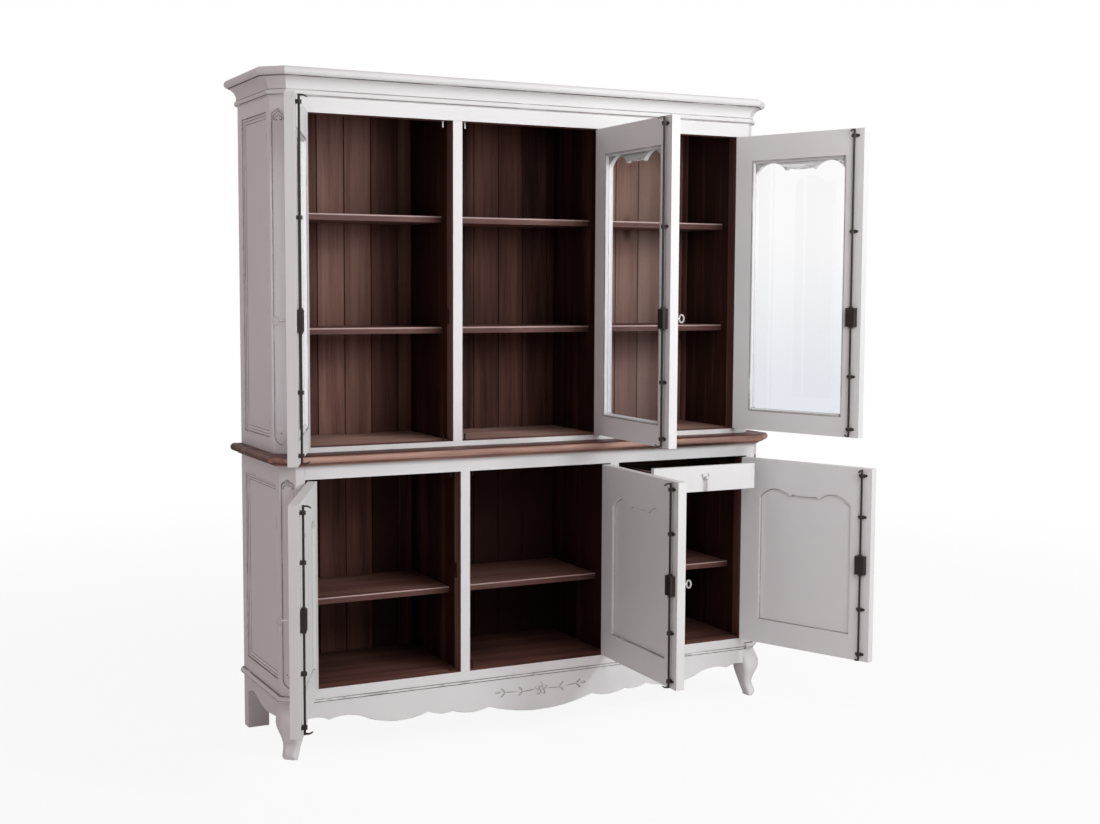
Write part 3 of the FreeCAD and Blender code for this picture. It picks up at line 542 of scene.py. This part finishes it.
metalLook = {
    "iron": (0.016, 0.012, 0.011),
    "ironRubbed": (0.085, 0.066, 0.058),
    "steel": (0.740, 0.725, 0.710),
    "steelDull": (0.520, 0.505, 0.495),
    "cloudDetail": 5,
    "roughSwing": 0.25,
    "bronze": {
        "metallic": 0.35, "roughness": 0.36, "cloudScale": 70, "cloudShare": 0.4,
        "edgeReach": 0.004, "edgeBand": (0.25, 0.55), "edgeShare": 0.4, "bump": (0.15, 0.0004),
    },
    "brightSteel": {"metallic": 1.0, "roughness": 0.18, "cloudScale": 90},
    "keeper": {
        "metallic": 0.7, "roughness": 0.3, "cloudScale": 90, "cloudShare": 0.5, "brightBand": (1.90, 1.94),
    },
}


def cloudedMetal(name, look):
    finish = Finish(name, {"Metallic": look["metallic"]})
    cloud = finish.noise(look["cloudScale"], detail=metalLook["cloudDetail"])
    finish.drive({"Roughness": look["roughness"] + cloud * metalLook["roughSwing"]})
    return finish, cloud


def bronzeFinish(name, look):
    finish, cloud = cloudedMetal(name, look)
    edge = finish.band(finish.hollows(look["edgeReach"], inside=True), *look["edgeBand"])
    dull = finish.blend(cloud * look["cloudShare"], metalLook["iron"], metalLook["ironRubbed"])
    finish.drive({"Base Color": finish.blend(edge * look["edgeShare"], dull, metalLook["ironRubbed"])})
    finish.bump(cloud, *look["bump"])
    return finish.material


def steelFinish(name, look):
    finish, cloud = cloudedMetal(name, look)
    finish.drive({"Base Color": finish.blend(cloud, metalLook["steel"], metalLook["steelDull"])})
    return finish.material


def keeperFinish(name, look):
    finish, cloud = cloudedMetal(name, look)
    bright = finish.band(finish.axes(finish.coords())[2], *look["brightBand"])
    dark = finish.blend(cloud * look["cloudShare"], metalLook["iron"], metalLook["ironRubbed"])
    finish.drive({"Base Color": finish.blend(bright, dark, metalLook["steel"])})
    return finish.material


# one finish for each kind of surface

frontLines = levelLines(antique["frontBead"])
beadLines = levelLines(antique["sideBead"] + antique["frontBead"])
corniceLines = levelLines(antique["cornice"])
finishes = {
    "paintAcross": paintFinish("paintAcross", "x", rub=0.9, wear=0.5, lines=frontLines),
    "paintBead": paintFinish("paintBead", "x", rub=0.9, lines=beadLines),
    "paintCornice": paintFinish("paintCornice", "x", rub=0.9, lines=corniceLines),
    "paintDoor": paintFinish("paintDoor", "z", rub=0.6, wear=0.0),
    # painted shade: the panels' grooves darken also where the door frames stand beside them, a dark line
    # where frame and panel meet
    "paintPanel": paintFinish("paintPanel", "z", rub=0.8, wear=0.0, alone=False),
    "basePanel": panelFinish("base_side_panels"),
    "hutchPanel": panelFinish("hutch_side_panels"),
    "frameUpright": frameFinish("frameUpright", "z"),
    "frameAcross": frameFinish("frameAcross", "x", frontLines),
    "hutchBoards": stainFinish("hutchBoards", "z", boards=boardRun, tone=0.08),
    # painted shade: the base's boards are given a darker tone than the hutch's
    "baseBoards": stainFinish("baseBoards", "z", boards=boardRun, tone=-0.32),
    # painted shade: the partitions' stain is given a much darker tone
    "uprightStainAndShade": stainFinish("uprightStainAndShade", "z", tone=-0.54),
    "stainAcross": stainFinish("stainAcross", "x", shine=0.3, tone=-0.15),
    # painted light: the hutch floor's stain is given a pale tone that stands for the sheen on it
    "floorStainAndSheen": stainFinish("floorStainAndSheen", "x", shine=0.5, tone=0.66),
    "stainShelf": stainFinish("stainShelf", "x", edgeLook["shelf"], shine=0.25),
    "stainTop": stainFinish("stainTop", "x", edgeLook["worktop"], shine=0.25, tone=-0.28),
    "glass": glassFinish("glass", glassLook),
    "bronze": bronzeFinish("bronze", metalLook["bronze"]),
    "steel": steelFinish("steel", metalLook["brightSteel"]),
    "keeper": keeperFinish("keeper", metalLook["keeper"]),
}
for door in upperDoors:
    finishes[door] = paintFinish(door + "Paint", "z", rub=0.6, wear=0.0, lines=doorLines(door))
print("finishes made:", len(finishes))

nodeFinish = {
    "base_corner_posts": "frameUpright",
    "base_side_frames": "frameUpright",
    "base_side_panels": "basePanel",
    "base_rails": "frameAcross",
    "base_mullions": "frameUpright",
    "base_apron": "paintAcross",
    "base_plinth_moulding": "paintBead",
    "base_floor": "stainAcross",
    "base_partitions": "uprightStainAndShade",
    "base_shelves": "stainShelf",
    "base_back_boards": "baseBoards",
    "drawer_runners": "stainAcross",
    "worktop": "stainTop",
    "hutch_corner_posts": "frameUpright",
    "hutch_side_frames": "frameUpright",
    "hutch_side_panels": "hutchPanel",
    "hutch_rails": "frameAcross",
    "hutch_mullions": "frameUpright",
    "hutch_floor": "floorStainAndSheen",
    "hutch_top": "stainAcross",
    "hutch_partitions": "uprightStainAndShade",
    "hutch_shelves": "stainShelf",
    "hutch_back_boards": "hutchBoards",
    "cornice": "paintCornice",
    "door_keepers": "keeper",
    "frame_hinge_leaves": "bronze",
    "drawer_front": "paintDoor",
    "drawer_box": "stainAcross",
    "drawer_pull_mount": "steel",
    "drawer_pull_drop": "steel",
}
memberFinish = {
    "frame": "paintDoor",
    "pane": "glass",
    "panel": "paintPanel",
    "fittings": "bronze",
    "latch_rod": "bronze",
    "key": "steel",
}


def dress(piece, finishName):
    piece.data.materials.clear()
    piece.data.materials.append(finishes[finishName])


for name, piece in nodes.items():
    if name in nodeFinish:
        dress(piece, nodeFinish[name])
        continue
    door = next(door for door in upperDoors + lowerDoors if name.startswith(door + "_"))
    member = name[len(door) + 1:]
    dress(piece, door if member == "frame" and door in finishes else memberFinish[member])
print("nodes dressed")


# carved lines and dots on the canted corners, in millimetres across the cant and up from the floor
# each line is given as its left half, with 1 where it has a sharp point

carving = {
    "halfWidth": 0.872,
    "cant": 0.040,
    "sunk": 0.0022,
    "bead": 0.0011,
    "beadSteps": 2,
    "curveSteps": 6,
    "dot": 0.0022,
    "dotSegments": 12,
    "dotRings": 8,
    "facing": (0.78, 0.97),
    "chips": {"scale": 60, "detail": 4},
    "chipBand": (0.25, 0.6),
}
cantStrokes = {
    "hutch": {
        "lines": [
            [(-17, 1946, 0), (-16.5, 1956, 0), (-8, 1966, 0), (0, 1973, 1)],
            [(-12, 1944, 0), (-10, 1955, 0), (-4, 1957, 1), (0, 1964, 1)],
        ],
        "dots": [(-6, 1946), (6, 1946), (0, 1000)],
    },
    "base": {
        "lines": [
            [(-19, 836, 0), (-20, 846, 0), (-14, 855, 1), (-7, 853, 0), (0, 861, 1)],
            [(-14, 834, 0), (-14.5, 841, 0), (-10, 847, 1), (-5, 845, 0), (0, 852, 1)],
        ],
        "dots": [(-9, 262), (0, 254), (9, 262)],
    },
}
slant = math.sqrt(0.5)
perMetre = 1000


def onCant(corner, across, height):
    side, front = corner
    out = carving["halfWidth"] - carving["cant"] / 2 + (across / perMetre - carving["sunk"]) * slant
    back = front + carving["cant"] / 2 + (across / perMetre + carving["sunk"]) * slant
    return Vector((side * out, back, height / perMetre))


def addStroke(half, corner):
    points = half + [(-across, height, sharp) for across, height, sharp in reversed(half[:-1])]
    bpy.ops.object.select_all(action="DESELECT")
    bpy.ops.curve.primitive_bezier_curve_add(radius=1.0, location=(0, 0, 0))
    stroke = bpy.context.object
    stroke.data.splines.clear()
    spline = stroke.data.splines.new("BEZIER")
    spline.bezier_points.add(len(points) - 1)
    for knot, (across, height, sharp) in zip(spline.bezier_points, points):
        knot.co = onCant(corner, across, height)
        knot.handle_left_type = knot.handle_right_type = "VECTOR" if sharp else "AUTO"
    stroke.data.bevel_depth = carving["bead"]
    stroke.data.bevel_resolution = carving["beadSteps"]
    stroke.data.resolution_u = carving["curveSteps"]
    stroke.data.use_fill_caps = True
    bpy.ops.object.convert(target="MESH")
    return bpy.context.object


def addDot(across, height, corner):
    bpy.ops.object.select_all(action="DESELECT")
    bpy.ops.mesh.primitive_uv_sphere_add(
        segments=carving["dotSegments"], ring_count=carving["dotRings"], radius=carving["dot"],
        location=onCant(corner, across, height),
    )
    return bpy.context.object


def join(pieces, name):
    bpy.ops.object.select_all(action="DESELECT")
    for piece in pieces:
        piece.select_set(True)
    bpy.context.view_layer.objects.active = pieces[0]
    bpy.ops.object.join()
    bpy.ops.object.transform_apply(location=True, rotation=True, scale=True)
    bpy.ops.object.shade_smooth()
    joined = bpy.context.object
    joined.name = name
    return joined


# paint on what stands out of the cant; the brown ground on its flanks is partly the antique ground and
# partly painted shade for the carved lines
def carvedFinish(name):
    finish = Finish(name, {"Roughness": paintLook["roughness"], "IOR": paintLook["ior"]})
    x = finish.axes(finish.coords())[0]
    normalX, normalY = finish.axes(finish.coords("Normal"))[:2]
    facing = (normalX * finish.maths("SIGN", x) - normalY) * slant
    chips = finish.band(finish.noise(**carving["chips"]), *carving["chipBand"])
    top = finish.band(facing, *carving["facing"]) * chips
    finish.drive({"Base Color": finish.blend(top, paintLook["ground"], paintLook["cool"])})
    return finish.material


finishes["carved"] = carvedFinish("carvedPaint")
for case, strokes in cantStrokes.items():
    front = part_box(case + "_mullions")[0][1]
    for side, word in ((-1, "left"), (1, "right")):
        corner = (side, front)
        pieces = [addStroke(half, corner) for half in strokes["lines"]]
        pieces += [addDot(across, height, corner) for across, height in strokes["dots"]]
        carved = join(pieces, case + "_" + word + "_carving")
        dress(carved, "carved")
        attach(carved, "cabinet")
print("corner carvings added")


# studio: white floor and surround, a main light high on the right in front,
# a small one near the doors and a weak one from the left

studio = {
    "floorSize": 60.0,
    "floorColour": (0.86, 0.835, 0.84),
    "floorRoughness": 0.9,
    "shadowShare": 0.09,
    "shadowReach": (6.0, 1.6),
    "sky": (1.0, 0.87, 0.89),
    "skyLevel": 0.385,
    "mirrorLevel": 0.85,
    "lights": {
        "keyLight": {
            "place": (3.2, -5.2, 4.0), "aim": (0.0, 0.0, 1.0), "size": (1.6, 1.6),
            "power": 134, "tint": (0.905, 1.0, 1.0),
        },
        "nearLight": {
            "place": (0.3, -2.5, 2.1), "aim": (0.7, -0.2, 1.5), "size": (1.0, 1.0),
            "power": 23, "tint": (0.96, 1.0, 1.0),
        },
        "sideLight": {
            "place": (-6.0, 0.5, 2.6), "aim": (0.0, 0.0, 1.0), "size": (2.4, 2.4),
            "power": 5, "tint": (1.0, 0.88, 0.90),
        },
    },
}


def seenDirectly(graph):
    outputs = graph.node("ShaderNodeLightPath").socket.node.outputs
    camera, through = [Wire(graph, outputs[name]) for name in ("Is Camera Ray", "Is Transmission Ray")]
    return graph.maths("MAXIMUM", camera, through)


def addFloor(look):
    bpy.ops.object.select_all(action="DESELECT")
    bpy.ops.mesh.primitive_plane_add(size=look["floorSize"], location=(0, 0, 0))
    floor = bpy.context.object
    floor.name = "studioFloor"
    finish = Finish("floorWhite", {"Base Color": look["floorColour"], "Roughness": look["floorRoughness"]})
    x, y = finish.axes(finish.coords())[:2]
    far = finish.maths("SQRT", x * x + y * y)
    shaded = finish.band(far, *look["shadowReach"]) * look["shadowShare"]
    glow = finish.node("ShaderNodeEmission", {}, {"Color": (1, 1, 1), "Strength": 1.0})
    finish.mixIn(seenDirectly(finish) * (1 - shaded), glow)
    floor.data.materials.append(finish.material)


def addSurround(look):
    world = bpy.data.worlds.new("studioSurround")
    bpy.context.scene.world = world
    world.use_nodes = True
    graph = Graph(world.node_tree)
    graph.tree.nodes.clear()
    glossy = graph.node("ShaderNodeLightPath", out="Is Glossy Ray")
    level = glossy * (look["mirrorLevel"] - look["skyLevel"]) + look["skyLevel"]
    lit = graph.node("ShaderNodeBackground", {}, {"Color": look["sky"], "Strength": level})
    seen = graph.node("ShaderNodeBackground", {}, {"Color": (1, 1, 1), "Strength": 1.0})
    mixed = graph.node("ShaderNodeMixShader", {}, {0: seenDirectly(graph), 1: lit, 2: seen})
    graph.node("ShaderNodeOutputWorld", {}, {"Surface": mixed})


def addLight(name, light):
    lamp = bpy.data.lights.new(name, "AREA")
    lamp.shape = "RECTANGLE"
    lamp.size, lamp.size_y = light["size"]
    lamp.energy = light["power"]
    lamp.color = light["tint"]
    stand = bpy.data.objects.new(name, lamp)
    bpy.context.scene.collection.objects.link(stand)
    towards = Vector(light["aim"]) - Vector(light["place"])
    turn = towards.to_track_quat("-Z", "Y").to_matrix().to_4x4()
    stand.matrix_world = Matrix.Translation(light["place"]) @ turn


addFloor(studio)
addSurround(studio)
for name, light in studio["lights"].items():
    addLight(name, light)
bpy.context.scene.view_settings.view_transform = "Standard"
print("studio set")
